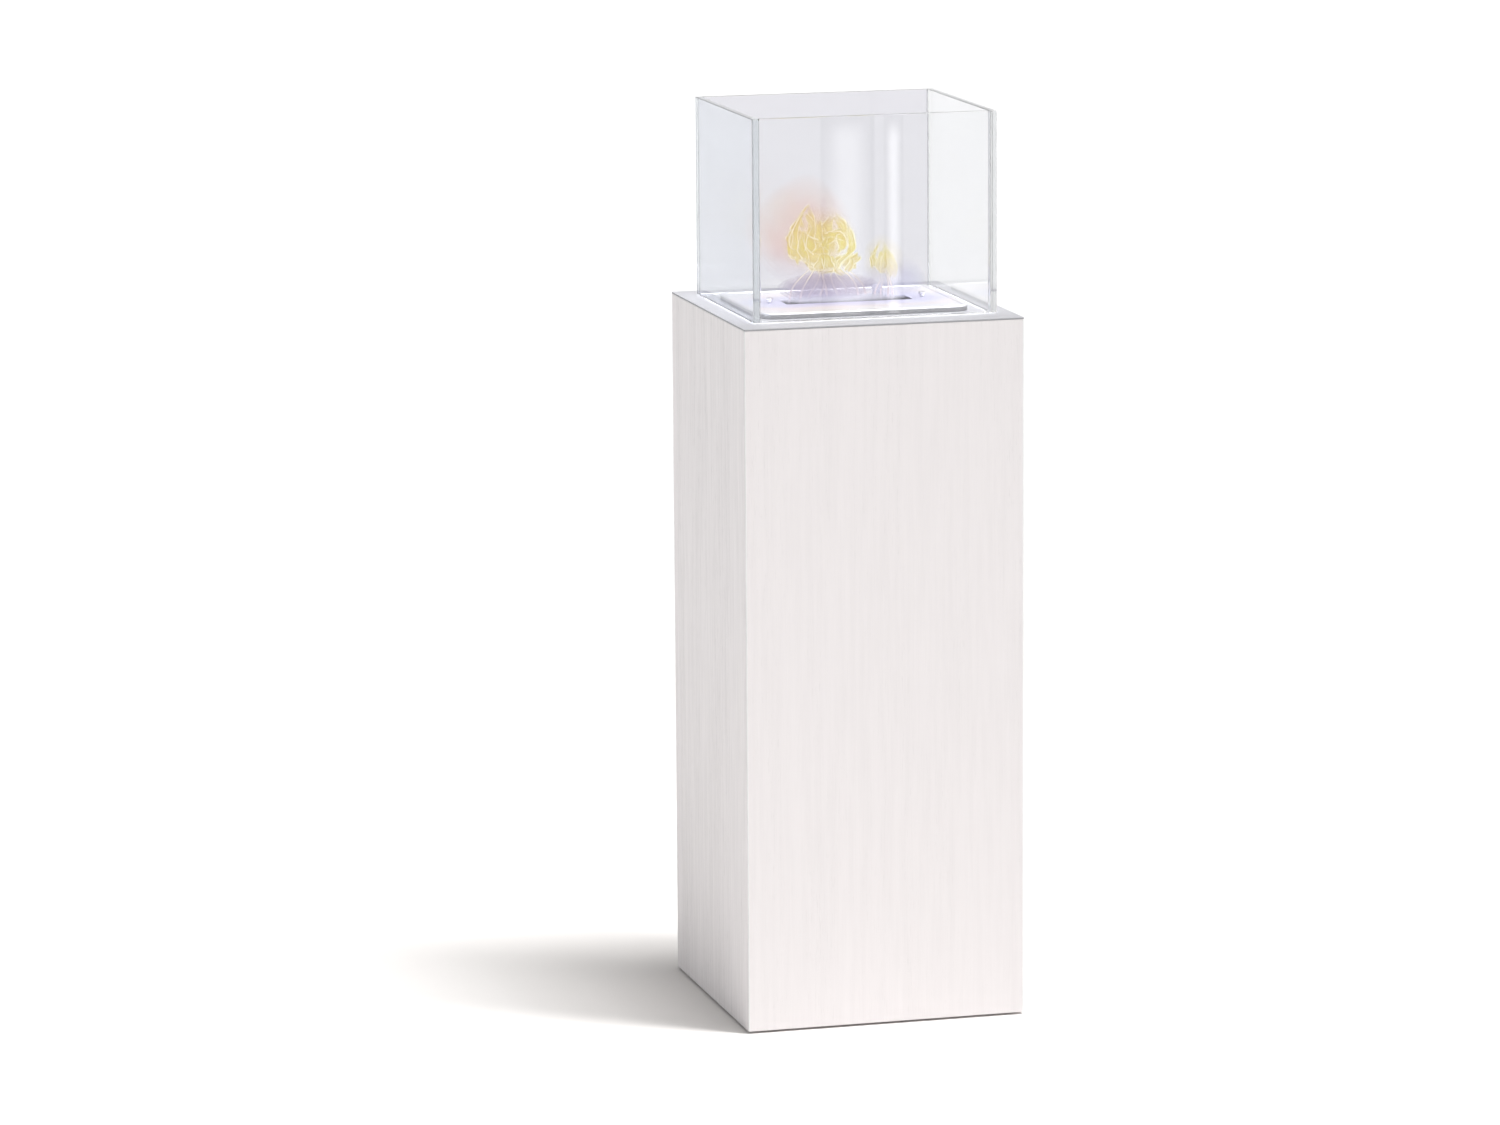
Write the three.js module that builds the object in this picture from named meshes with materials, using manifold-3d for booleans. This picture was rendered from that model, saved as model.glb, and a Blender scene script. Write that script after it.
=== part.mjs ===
// Column fireplace for bio-ethanol: a square plinth of white wood-grain boards, a stainless burner
// that drops into a steel well in its top, and an open-topped surround of four glass panes.
// Millimetres, +Z up. The origin is on the floor, under the middle of the plinth. The front faces -Y.

import * as THREE from "three";
import { mergeVertices } from "three/addons/utils/BufferGeometryUtils.js";
import Module from "manifold-3d";

// Driving dimensions.
const GAP = 0.3; // between pieces that touch
const SIDE = 350; // plinth, across X and Y
const SURFACE_Z = 866; // the top sheet's upper face
const GLIDE_HEIGHT = 3;
const BOARD = 16; // thickness of every board
const ARRIS = 1.2; // flat along the plinth's upright corners
const MITRE_BACK = 0.2; // each mitred end stops short by this much
const BATTEN = 22;
const SHEET = 2; // steel sheet over the top board

const GLASS = 8;
const GLASS_WIDTH = 306; // over the side panes
const GLASS_DEPTH = 270; // over the front and back panes
const GLASS_TOP = 247; // above the top sheet
const GLASS_ARRIS = 0.6;
const BOND_JOINT = 1; // between a side pane and the end of the pane that meets it
const GLASS_PAD = { y: 112, length: 26, thick: 0.9 }; // clear pads under the side panes

const PLATE = { width: 260, depth: 200, height: 7, radius: 18, edge: 2, steel: 1.2 };
const SLOT = { length: 160, width: 38, radius: 3 };
const TANK = { width: 200, depth: 96, height: 65, radius: 8, steel: 1.2, rim: 16 };
const WELL = { width: 212, depth: 108, height: 84, radius: 10, steel: 1, rim: 15 };
const DAMPER = { length: 172.8, width: 46, steel: 1.5 };
const TAB = { x: 45, width: 14, height: 15, radius: 4 };
const KNOB = { x: 97, radius: 4.5, height: 5.2, hole: 2.3 };
const SPACER = { x: 106, y: 54, radius: 4 };

// Heights above the top sheet, from the tank's rim up to the knobs.
const RIM_TOP = GAP + TANK.steel;
const PLATE_UNDER = PLATE.height - PLATE.steel;
const DAMPER_UNDER = 3.4;
const RAIL_UNDER = 2;

const THROUGH = 20; // depth of a cutting tool that passes right through a sheet
const ROUND = 20; // sides of a small turned piece
const ARC_STEPS = 4; // steps in each half of a rounded corner

const MATERIALS = {
  board: material(0xf2f0f0, 0.55, 0),
  paintedSteel: material(0xeeeef2, 0.4, 0),
  timber: material(0xd8bf96, 0.75, 0),
  stainless: material(0xd4d4d8, 0.3, 1),
  zincedSteel: material(0xb9bcc0, 0.35, 1),
  galvanised: material(0xa9adb0, 0.5, 1),
  glide: material(0x2a2a2c, 0.6, 0),
  fibre: material(0xf1ede3, 0.95, 0),
  glass: material(0xe6eeee, 0.03, 0, 0.3),
  silicone: material(0xe9edee, 0.25, 0, 0.6),
};

function material(color, roughness, metalness, opacity = 1) {
  return new THREE.MeshStandardMaterial({
    color,
    roughness,
    metalness,
    opacity,
    transparent: opacity < 1,
  });
}

const wasm = await Module();
wasm.setup();

// A closed geometry as a solid that can be cut and joined.
function solid(geometry) {
  const bare = geometry.clone();
  bare.deleteAttribute("normal");
  bare.deleteAttribute("uv");
  const merged = mergeVertices(bare, 1e-4);
  return new wasm.Manifold(
    new wasm.Mesh({
      numProp: 3,
      vertProperties: merged.attributes.position.array,
      triVerts: new Uint32Array(merged.index.array),
    }),
  );
}

// The solid back as a geometry with flat faces.
function surface(body) {
  const { vertProperties, triVerts } = body.getMesh();
  const geometry = new THREE.BufferGeometry();
  geometry.setAttribute("position", new THREE.BufferAttribute(vertProperties, 3));
  geometry.setIndex(new THREE.BufferAttribute(triVerts, 1));
  const flat = geometry.toNonIndexed();
  flat.computeVertexNormals();
  return flat;
}

function cut(geometry, ...tools) {
  return surface(tools.reduce((body, tool) => body.subtract(solid(tool)), solid(geometry)));
}

function join(geometry, ...others) {
  return surface(others.reduce((body, other) => body.add(solid(other)), solid(geometry)));
}

// A rectangle with rounded corners, centred on the origin.
function rectangle(width, depth, radius = 0) {
  const [x, y] = [width / 2, depth / 2];
  const outline = new THREE.Shape();
  if (radius === 0) {
    return outline.moveTo(-x, -y).lineTo(x, -y).lineTo(x, y).lineTo(-x, y);
  }
  outline.moveTo(-x + radius, -y).lineTo(x - radius, -y);
  outline.absarc(x - radius, -y + radius, radius, -Math.PI / 2, 0);
  outline.lineTo(x, y - radius).absarc(x - radius, y - radius, radius, 0, Math.PI / 2);
  outline.lineTo(-x + radius, y).absarc(-x + radius, y - radius, radius, Math.PI / 2, Math.PI);
  outline.lineTo(-x, -y + radius);
  return outline.absarc(-x + radius, -y + radius, radius, Math.PI, Math.PI * 1.5);
}

// An outline pulled straight up from z.
function slab(outline, height, z = 0) {
  const shape = new THREE.ExtrudeGeometry(outline, {
    depth: height,
    bevelEnabled: false,
    curveSegments: ARC_STEPS,
  });
  return shape.translate(0, 0, z);
}

// A turned piece from [radius, z] points, listed from the bottom up.
function turned(profile, sides = ROUND) {
  const points = profile.map(([radius, z]) => new THREE.Vector2(radius, z));
  return new THREE.LatheGeometry(points, sides).rotateX(Math.PI / 2);
}

// A mesh in a group, at a place, turned about Z.
function put(group, name, geometry, finish, x = 0, y = 0, z = 0, turn = 0) {
  const mesh = new THREE.Mesh(geometry, MATERIALS[finish]);
  mesh.name = name;
  mesh.position.set(x, y, z);
  mesh.rotation.z = turn;
  group.add(mesh);
}

// The four corners of a rectangle as a name and two signs.
const CORNERS = [
  ["front_left", -1, -1],
  ["front_right", 1, -1],
  ["back_left", -1, 1],
  ["back_right", 1, 1],
];

// The [radius, z] profile of a countersunk screw, head down, grown all round by a clearance.
function screwProfile(head, shank, length, clearance = 0) {
  const cone = head - shank;
  return [
    [0, -clearance],
    [head + clearance, -clearance],
    [head + clearance, 0],
    [shank + clearance, cone],
    [shank + clearance, length - shank],
    [0, length + clearance],
  ];
}

// Plinth: four mitred boards round corner battens, with a bottom board and a top board let in.

const BOARDS_TOP = SURFACE_Z - SHEET - GAP;
const INSIDE = SIDE - 2 * BOARD;
const GLIDE = { at: SIDE / 2 - 30, radius: 13, sink: 0.7 };
const GLIDE_SCREW = { head: 3.6, shank: 1.75, length: 13.5 };
const WELL_SCREW = { head: 3.2, shank: 1.5, length: 13 };

// A board seen from above, its outer face along y = 0 and its ends mitred at 45 degrees.
function mitredBoard() {
  const half = SIDE / 2;
  const corner = half - ARRIS / 2 - MITRE_BACK;
  const inner = half - BOARD - MITRE_BACK;
  const outline = new THREE.Shape();
  outline.moveTo(-half + ARRIS, 0).lineTo(half - ARRIS, 0);
  outline.lineTo(corner, ARRIS / 2).lineTo(inner, BOARD);
  return outline.lineTo(-inner, BOARD).lineTo(-corner, ARRIS / 2);
}

function addSideBoards(plinth) {
  const board = slab(mitredBoard(), BOARDS_TOP - GLIDE_HEIGHT);
  const half = SIDE / 2;
  put(plinth, "panel_front", board, "board", 0, -half, GLIDE_HEIGHT);
  put(plinth, "panel_right", board, "board", half, 0, GLIDE_HEIGHT, Math.PI / 2);
  put(plinth, "panel_back", board, "board", 0, half, GLIDE_HEIGHT, Math.PI);
  put(plinth, "panel_left", board, "board", -half, 0, GLIDE_HEIGHT, -Math.PI / 2);
}

// The bottom board stands on four glides, each held by one countersunk screw from below.
function addBase(plinth) {
  const width = INSIDE - 2 * GAP;
  const { head, shank, length } = GLIDE_SCREW;
  const screwHole = turned(screwProfile(head, shank, length, GAP));
  const pilots = CORNERS.map(([, sx, sy]) =>
    screwHole.clone().translate(sx * GLIDE.at, sy * GLIDE.at, GLIDE.sink - GLIDE_HEIGHT),
  );
  const board = cut(slab(rectangle(width, width), BOARD), ...pilots);
  put(plinth, "bottom_panel", board, "board", 0, 0, GLIDE_HEIGHT);

  const disc = turned([
    [0, 0],
    [GLIDE.radius - 1, 0],
    [GLIDE.radius, 1],
    [GLIDE.radius, GLIDE_HEIGHT - GAP],
    [0, GLIDE_HEIGHT - GAP],
  ]);
  const recess = turned([
    [0, -1],
    [head + GAP, -1],
    [head + GAP, GLIDE.sink],
    [0, GLIDE.sink],
  ]);
  const glide = cut(disc, recess, screwHole.clone().translate(0, 0, GLIDE.sink));
  const screw = turned(screwProfile(head, shank, length));
  for (const [corner, sx, sy] of CORNERS) {
    const [x, y] = [sx * GLIDE.at, sy * GLIDE.at];
    put(plinth, `glide_${corner}`, glide, "glide", x, y, 0);
    put(plinth, `glide_screw_${corner}`, screw, "zincedSteel", x, y, GLIDE.sink);
  }
}

// The top board and the folded-steel well that hangs in it, under the loose top sheet.
function addTop(plinth) {
  const rimTop = BOARDS_TOP;
  const boardTop = rimTop - WELL.steel - GAP;
  const battenFoot = GLIDE_HEIGHT + BOARD + GAP;
  const battenTop = boardTop - BOARD - GAP;
  const battenAt = INSIDE / 2 - GAP - BATTEN / 2;
  const batten = slab(rectangle(BATTEN, BATTEN), battenTop - battenFoot);
  for (const [corner, sx, sy] of CORNERS) {
    put(plinth, `corner_batten_${corner}`, batten, "timber", sx * battenAt, sy * battenAt, battenFoot);
  }

  const { head, shank, length } = WELL_SCREW;
  const outer = { width: WELL.width + 2 * WELL.steel, depth: WELL.depth + 2 * WELL.steel };
  const screwX = (outer.width + WELL.rim) / 2;
  const screwY = (outer.depth + WELL.rim) / 2;
  const headDown = (clearance) =>
    turned(screwProfile(head, shank, length, clearance)).rotateX(Math.PI);
  const holes = CORNERS.map(([, sx, sy]) => headDown(GAP).translate(sx * screwX, sy * screwY, 0));
  const drilled = (geometry, z) => cut(geometry, ...holes.map((hole) => hole.clone().translate(0, 0, z)));

  const width = INSIDE - 2 * GAP;
  const board = rectangle(width, width);
  board.holes.push(rectangle(outer.width + 2, outer.depth + 2, WELL.radius + 2));
  const aboveBoard = rimTop - boardTop;
  put(plinth, "top_panel", drilled(slab(board, BOARD, -BOARD), aboveBoard), "board", 0, 0, boardTop);

  const rim = rectangle(outer.width + 2 * WELL.rim, outer.depth + 2 * WELL.rim, 6);
  const shell = join(
    slab(rim, WELL.steel, -WELL.steel),
    slab(rectangle(outer.width, outer.depth, WELL.radius + WELL.steel), WELL.height, -WELL.height),
  );
  const hollow = slab(rectangle(WELL.width, WELL.depth, WELL.radius), WELL.height, WELL.steel - WELL.height);
  put(plinth, "burner_well", drilled(cut(shell, hollow), 0), "galvanised", 0, 0, rimTop);

  for (const [corner, sx, sy] of CORNERS) {
    put(plinth, `well_screw_${corner}`, headDown(0), "zincedSteel", sx * screwX, sy * screwY, rimTop);
  }

  const sheet = rectangle(SIDE, SIDE, 1);
  sheet.holes.push(rectangle(WELL.width, WELL.depth, WELL.radius));
  put(plinth, "top_sheet", slab(sheet, SHEET), "paintedSteel", 0, 0, SURFACE_Z - SHEET);
}

// Burner: a raised cover plate with a long slot, over a tank packed with fibre that holds the fuel.
// Heights are above the top sheet.

function addTank(burner) {
  const { width, depth, height, radius, steel, rim } = TANK;
  const shell = join(
    slab(rectangle(width + 2 * rim, depth + 2 * rim, radius + 4), steel, RIM_TOP - steel),
    slab(rectangle(width, depth, radius), height, RIM_TOP - height),
  );
  const floor = RIM_TOP - height + steel;
  const inner = rectangle(width - 2 * steel, depth - 2 * steel, radius - steel);
  put(burner, "burner_tank", cut(shell, slab(inner, height, floor)), "stainless");

  const clear = 4; // all round the fibre
  const padHeight = 40;
  const pad = rectangle(width - 2 * steel - clear, depth - 2 * steel - clear, radius - 2);
  put(burner, "fibre_pad", slab(pad, padHeight), "fibre", 0, 0, floor + GAP);

  // The perforated sheet that holds the fibre down.
  const columns = 15;
  const rows = 5;
  const pitch = 11.5;
  const hole = 6;
  const sheet = rectangle(width - 2 * steel - 2, depth - 2 * steel - 2, radius - 2);
  for (let column = 0; column < columns; column += 1) {
    for (let row = 0; row < rows; row += 1) {
      const x = (column - (columns - 1) / 2) * pitch;
      const y = (row - (rows - 1) / 2) * pitch;
      const opening = new THREE.Path();
      opening.moveTo(x - hole / 2, y).lineTo(x, y + hole / 2).lineTo(x + hole / 2, y);
      sheet.holes.push(opening.lineTo(x, y - hole / 2));
    }
  }
  put(burner, "burner_mesh", slab(sheet, 0.8), "stainless", 0, 0, floor + GAP + padHeight + GAP);
}

// The plate is a shallow lid with a rounded top edge, open below.
function addPlate(burner) {
  const { width, depth, height, radius, edge, steel } = PLATE;
  const body = new THREE.ExtrudeGeometry(rectangle(width, depth, radius), {
    depth: height,
    bevelThickness: edge,
    bevelSize: edge,
    bevelOffset: -edge,
    bevelSegments: 3,
    curveSegments: ARC_STEPS,
  });
  body.translate(0, 0, -edge);
  const below = slab(rectangle(width + 10, depth + 10), THROUGH, GAP - THROUGH);
  const inner = rectangle(width - 2 * steel, depth - 2 * steel, radius - steel);
  const hollow = slab(inner, PLATE_UNDER + 1, -1);
  const slot = slab(rectangle(SLOT.length, SLOT.width, SLOT.radius), THROUGH);
  const knobHole = turned([
    [0, 0],
    [KNOB.hole, 0],
    [KNOB.hole, THROUGH],
    [0, THROUGH],
  ]);
  const holes = [-1, 1].map((side) => knobHole.clone().translate(side * KNOB.x, 0, 0));
  put(burner, "burner_plate", cut(body, below, hollow, slot, ...holes), "stainless");

  const spacerHeight = PLATE_UNDER - RIM_TOP - 2 * GAP;
  const spacer = turned([
    [0, 0],
    [SPACER.radius, 0],
    [SPACER.radius, spacerHeight],
    [0, spacerHeight],
  ]);
  for (const [corner, sx, sy] of CORNERS) {
    const [x, y] = [sx * SPACER.x, sy * SPACER.y];
    put(burner, `plate_spacer_${corner}`, spacer, "stainless", x, y, RIM_TOP + GAP);
  }
}

// Two small knobs lift the burner out. Each is held by a screw from under the plate.
function addKnobs(burner) {
  const { radius, height } = KNOB;
  const knob = cut(
    turned([
      [0, 0],
      [radius - 1.4, 0],
      [radius - 1.4, 1.2],
      [radius, 2.2],
      [radius, height - 1],
      [radius - 1, height],
      [0, height],
    ]),
    turned([
      [0, -1],
      [1.9 + GAP, -1],
      [1.9 + GAP, 3.8],
      [0, 3.8],
    ]),
  );
  const headHeight = 2.4;
  const screw = turned([
    [0, 0],
    [3, 0],
    [3.8, 0.8],
    [3.8, headHeight],
    [1.9, headHeight],
    [1.9, headHeight + PLATE.steel + 2 * GAP + 3],
    [0, headHeight + PLATE.steel + 2 * GAP + 3],
  ]);
  for (const [side, sx] of [["left", -1], ["right", 1]]) {
    put(burner, `lift_knob_${side}`, knob, "stainless", sx * KNOB.x, 0, PLATE.height + GAP);
    const z = PLATE_UNDER - GAP - headHeight;
    put(burner, `knob_screw_${side}`, screw, "zincedSteel", sx * KNOB.x, 0, z);
  }
}

// The damper slides forward under the plate and closes the slot. Angle rails carry its two ends.
function addDamper(burner) {
  const reach = 2; // into the open slot, so that the tab shows
  const front = SLOT.width / 2 - reach; // its front edge, while the slot is open
  const { length, width, steel } = DAMPER;
  const blade = slab(rectangle(length, width, 2), steel).translate(0, front + width / 2, 0);
  const tabTop = PLATE.height + TAB.height - DAMPER_UNDER;
  const root = 8; // of the tab, below the blade, which is cut away
  const ear = slab(rectangle(TAB.width, tabTop + root, TAB.radius), steel).rotateX(Math.PI / 2);
  const tab = ear.translate(TAB.x, front + steel, (tabTop - root) / 2);
  const below = slab(rectangle(length, 2 * SIDE), THROUGH, -THROUGH);
  put(burner, "damper_slide", cut(join(blade, tab), below), "stainless", 0, 0, DAMPER_UNDER);

  const lip = { reach: 8, thick: 0.9, web: 3 };
  const railTop = PLATE_UNDER - GAP - RAIL_UNDER;
  const run = { from: -24, to: 70 };
  const play = 0.6; // between the blade's end and the web
  const webFace = length / 2 + play;
  for (const [side, turn] of [["right", 0], ["left", Math.PI]]) {
    // Seen from the front: a lip along the bottom, and a web up its outer side.
    const outline = new THREE.Shape();
    outline.moveTo(lip.web - lip.reach, 0).lineTo(lip.web, 0).lineTo(lip.web, railTop);
    outline.lineTo(0, railTop).lineTo(0, lip.thick).lineTo(lip.web - lip.reach, lip.thick);
    const rail = slab(outline, run.to - run.from).rotateX(Math.PI / 2);
    const y = turn === 0 ? run.to : run.from;
    put(burner, `slide_rail_${side}`, rail, "stainless", Math.cos(turn) * webFace, y, RAIL_UNDER, turn);
  }
}

// Glass surround: the front and back panes fit between the side panes and are bonded to them.

function addPane(surround, name, width, x, y, turn) {
  const height = GLASS_TOP - GAP * 2 - GLASS_PAD.thick;
  const inset = 2 * GLASS_ARRIS;
  const pane = new THREE.ExtrudeGeometry(rectangle(width - inset, height - inset), {
    depth: GLASS - inset,
    bevelThickness: GLASS_ARRIS,
    bevelSize: GLASS_ARRIS,
    bevelSegments: 1,
  });
  pane.translate(0, 0, GLASS_ARRIS - GLASS / 2).rotateX(Math.PI / 2);
  put(surround, name, pane, "glass", x, y, GLASS_TOP - height / 2, turn);
}

function addSurround(surround) {
  const sideX = (GLASS_WIDTH - GLASS) / 2;
  const frontY = (GLASS_DEPTH - GLASS) / 2;
  const between = GLASS_WIDTH - 2 * GLASS - 2 * BOND_JOINT;
  addPane(surround, "glass_front", between, 0, -frontY, 0);
  addPane(surround, "glass_back", between, 0, frontY, 0);
  addPane(surround, "glass_left", GLASS_DEPTH, -sideX, 0, Math.PI / 2);
  addPane(surround, "glass_right", GLASS_DEPTH, sideX, 0, Math.PI / 2);

  const bondX = GLASS_WIDTH / 2 - GLASS - BOND_JOINT / 2;
  const bondFoot = 2;
  const bond = slab(rectangle(BOND_JOINT - 2 * GAP, GLASS - 1), GLASS_TOP - 2 * bondFoot);
  const padWidth = GLASS - 1;
  const pad = slab(rectangle(padWidth, GLASS_PAD.length, padWidth / 2 - 0.01), GLASS_PAD.thick);
  for (const [corner, sx, sy] of CORNERS) {
    put(surround, `corner_bond_${corner}`, bond, "silicone", sx * bondX, sy * frontY, bondFoot);
    put(surround, `glass_pad_${corner}`, pad, "silicone", sx * sideX, sy * GLASS_PAD.y, GAP);
  }
}

const fireplace = new THREE.Group();

const plinth = new THREE.Group();
addSideBoards(plinth);
addBase(plinth);
addTop(plinth);

const burner = new THREE.Group();
burner.position.z = SURFACE_Z;
addTank(burner);
addPlate(burner);
addKnobs(burner);
addDamper(burner);

const surround = new THREE.Group();
surround.position.z = SURFACE_Z;
addSurround(surround);

fireplace.add(plinth, burner, surround);

export default fireplace;
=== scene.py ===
"""Looks of a free-standing column fireplace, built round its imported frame.

Metres, +Z up, front towards -Y.
"""

import math
import random
from contextlib import contextmanager

import bmesh
import bpy
from bpy.props import FloatProperty, FloatVectorProperty, IntProperty, PointerProperty
from mathutils import Matrix, Vector, noise


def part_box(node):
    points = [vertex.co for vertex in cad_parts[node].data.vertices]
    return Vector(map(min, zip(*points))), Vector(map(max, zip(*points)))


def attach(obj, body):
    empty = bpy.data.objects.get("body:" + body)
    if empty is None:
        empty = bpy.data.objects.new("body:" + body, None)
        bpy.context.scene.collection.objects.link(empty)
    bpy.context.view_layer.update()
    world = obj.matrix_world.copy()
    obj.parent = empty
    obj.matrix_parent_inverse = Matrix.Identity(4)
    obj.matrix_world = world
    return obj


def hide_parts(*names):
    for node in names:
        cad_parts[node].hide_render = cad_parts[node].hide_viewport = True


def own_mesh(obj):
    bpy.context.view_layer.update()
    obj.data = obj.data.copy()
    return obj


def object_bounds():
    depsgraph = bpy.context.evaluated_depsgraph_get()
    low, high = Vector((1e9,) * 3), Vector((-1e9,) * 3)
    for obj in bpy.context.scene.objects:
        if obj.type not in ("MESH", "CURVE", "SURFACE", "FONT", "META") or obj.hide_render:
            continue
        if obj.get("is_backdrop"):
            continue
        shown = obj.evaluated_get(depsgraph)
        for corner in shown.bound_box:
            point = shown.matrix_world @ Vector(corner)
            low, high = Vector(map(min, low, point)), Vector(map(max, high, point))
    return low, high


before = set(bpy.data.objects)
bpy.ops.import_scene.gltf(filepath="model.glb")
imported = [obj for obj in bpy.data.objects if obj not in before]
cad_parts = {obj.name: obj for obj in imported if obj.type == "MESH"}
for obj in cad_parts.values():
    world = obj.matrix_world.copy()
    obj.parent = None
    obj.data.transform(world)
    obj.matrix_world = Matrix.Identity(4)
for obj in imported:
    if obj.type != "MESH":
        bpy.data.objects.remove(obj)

bl_info = {
    "name": "Column fireplace",
    "version": (1, 0, 0),
    "blender": (4, 5, 0),
    "location": "View3D > Sidebar > Fireplace",
    "description": "Finishes a column fireplace: boards, pressed steel burner, glass surround and flames",
    "category": "Object",
}

MM = 0.001
CAD_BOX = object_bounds()
BLACK = (0, 0, 0, 1)
CORNERS = ("front_left", "front_right", "back_left", "back_right")
SIDES = ("front", "right", "back", "left")
ENDS = ("left", "right")


def low(node):
    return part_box(node)[0]


def high(node):
    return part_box(node)[1]


def centre_of(node):
    lowest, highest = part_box(node)
    return (lowest + highest) / 2


def at_corners(prefix):
    return [prefix + corner for corner in CORNERS]


SURFACE_Z = high("top_sheet").z  # what the glass and the burner stand on
PLATE_TOP = high("burner_plate").z
SLOT_HALF = Vector((80, 19, 0)) * MM
PAST = 5 * MM  # how far a cutting tool reaches beyond what it cuts


def on_top(spot):
    """The place of a spot given in millimetres from the middle of the top surface."""
    return Vector((0, 0, SURFACE_Z)) + spot * MM


# --- settings -------------------------------------------------------------------------------


def colour(name, about, default):
    return FloatVectorProperty(name=name, description=about, subtype="COLOR", min=0, max=1, default=default)


def length(name, about, millimetres, least=0):
    return FloatProperty(name=name, description=about, subtype="DISTANCE", unit="LENGTH",
                         min=least * MM, default=millimetres * MM)


def angle(name, about, degrees):
    return FloatProperty(name=name, description=about, subtype="ANGLE", unit="ROTATION",
                         default=math.radians(degrees))


def strength(name, about, default):
    return FloatProperty(name=name, description=about, min=0, default=default)


class PlinthSettings(bpy.types.PropertyGroup):
    board_colour: colour("Board colour", "Foil on the upright boards", (0.915, 0.88, 0.885))
    grain_contrast: FloatProperty(
        name="Grain contrast", description="How much darker the pores of the grain are",
        subtype="FACTOR", min=0, max=1, default=0.11)
    grain_depth: length("Grain depth", "How deep the grain is pressed into the foil", 0.25)
    corner_radius: length("Corner radius", "Rounding of the upright corners", 1.2)
    # Painted highlight: the upright corners are laid whiter, standing in for light caught on their rounding.
    corner_highlight_colour: colour(
        "Corner colour", "Bare bright foil where it is drawn round the corners", (0.98, 0.98, 0.98))
    # Painted shade: the top sheet's paint is set mid grey, so that the white top reads as shaded.
    shaded_sheet_colour: colour("Sheet colour", "Paint on the steel top sheet", (0.43, 0.43, 0.455))


class BurnerSettings(bpy.types.PropertyGroup):
    steel_colour: colour("Steel colour", "Brushed stainless steel", (0.90, 0.89, 0.92))
    lip_width: length("Lip width", "Raised rim round the cover plate", 5)
    lip_height: length("Lip height", "How far the rim stands above the middle of the plate", 0.9)
    mesh_pitch: length("Mesh pitch", "From hole to hole in the perforated sheet", 5, least=1)


class GlassSettings(bpy.types.PropertyGroup):
    tint: colour("Tint", "What the front and right panes let through", (0.965, 0.97, 0.972))
    # Painted shade: the left and back panes are the same clear glass, and their bluer and darker tints stand
    # in for shade.
    left_painted_shade: colour("Left tint", "What the left pane lets through, a shade bluer", (0.80, 0.83, 0.87))
    back_painted_shade: colour("Back tint", "What the back pane lets through, a shade darker", (0.755, 0.748, 0.79))
    arris: length("Arris", "Polished edge of each pane", 0.7)


class FlameSettings(bpy.types.PropertyGroup):
    body_colour: colour("Body colour", "Yellow of the flames", (0.86, 0.75, 0.15))
    halo_colour: colour("Halo colour", "Red glow round the flames", (0.77, 0.36, 0.27))
    base_colour: colour("Base colour", "Blue at the foot of the flames", (0.56, 0.56, 0.84))
    crease_colour: colour("Crease colour", "Thin dark folds in the flames", (0.60, 0.47, 0.13))
    rim_colour: colour("Rim colour", "Pale rims of the petals", (0.97, 0.92, 0.70))
    seed: IntProperty(name="Seed", description="Changes the curls", min=0, default=4)


class StageSettings(bpy.types.PropertyGroup):
    sky: strength("Sky", "Brightness of the even light from all round", 0.28)
    sky_gloss: strength("Sky in gloss", "How bright the same light looks in gloss and glass", 1.0)
    key: strength("Key", "Strength of the strip of soft light from the right", 3.68)
    key_low: angle("Key foot", "Height of the strip's lower end above the floor; its top is overhead", 54)
    key_side: angle("Key side", "Angle of the strip from the right round to the front", 33)
    fill: strength("Fill", "Strength of the low light from the left", 0.33)
    lens: FloatProperty(
        name="Lens", description="Focal length on a 36 mm wide sensor",
        subtype="DISTANCE_CAMERA", unit="CAMERA", default=153.9)


class FireplaceSettings(bpy.types.PropertyGroup):
    plinth: PointerProperty(type=PlinthSettings)
    burner: PointerProperty(type=BurnerSettings)
    glass: PointerProperty(type=GlassSettings)
    flame: PointerProperty(type=FlameSettings)
    stage: PointerProperty(type=StageSettings)


# --- modelling helpers ----------------------------------------------------------------------


def activate(piece):
    bpy.ops.object.select_all(action="DESELECT")
    piece.select_set(True)
    bpy.context.view_layer.objects.active = piece


@contextmanager
def editing(piece):
    activate(piece)
    bpy.ops.object.mode_set(mode="EDIT")
    yield
    bpy.ops.object.mode_set(mode="OBJECT")


def pick(piece, kind, test):
    """Selects, in edit mode, only the vertices, edges or faces that pass the test."""
    bpy.ops.mesh.select_mode(type=kind)
    bpy.ops.mesh.select_all(action="DESELECT")
    cage = bmesh.from_edit_mesh(piece.data)
    for part in {"VERT": cage.verts, "EDGE": cage.edges, "FACE": cage.faces}[kind]:
        if test(part):
            part.select_set(True)
    cage.select_flush_mode()
    bmesh.update_edit_mesh(piece.data)


def middle(edge):
    return (edge.verts[0].co + edge.verts[1].co) / 2


def runs_along(edge, axis):
    way = (edge.verts[1].co - edge.verts[0].co).normalized()
    return abs(way[axis]) > 0.999


def named(name):
    """The object that an operator just added or joined, with its place moved into its mesh."""
    piece = bpy.context.object
    piece.name = piece.data.name = name
    bpy.ops.object.transform_apply(location=True, rotation=True, scale=True)
    return piece


def add_block(name, lowest, highest):
    lowest, highest = Vector(lowest), Vector(highest)
    bpy.ops.mesh.primitive_cube_add(size=1, location=(lowest + highest) / 2)
    bpy.context.object.scale = highest - lowest
    return named(name)


def add_disc(name, radius, foot, top, sides=48):
    """An upright cylinder between the middles of its two ends."""
    foot, top = Vector(foot), Vector(top)
    bpy.ops.mesh.primitive_cylinder_add(
        vertices=sides, radius=radius, depth=(top - foot).length, location=(foot + top) / 2)
    return named(name)


def round_uprights(piece, radius, segments):
    with editing(piece):
        pick(piece, "EDGE", lambda edge: runs_along(edge, 2))
        bpy.ops.mesh.bevel(offset=radius, segments=segments, affect="EDGES")


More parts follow.
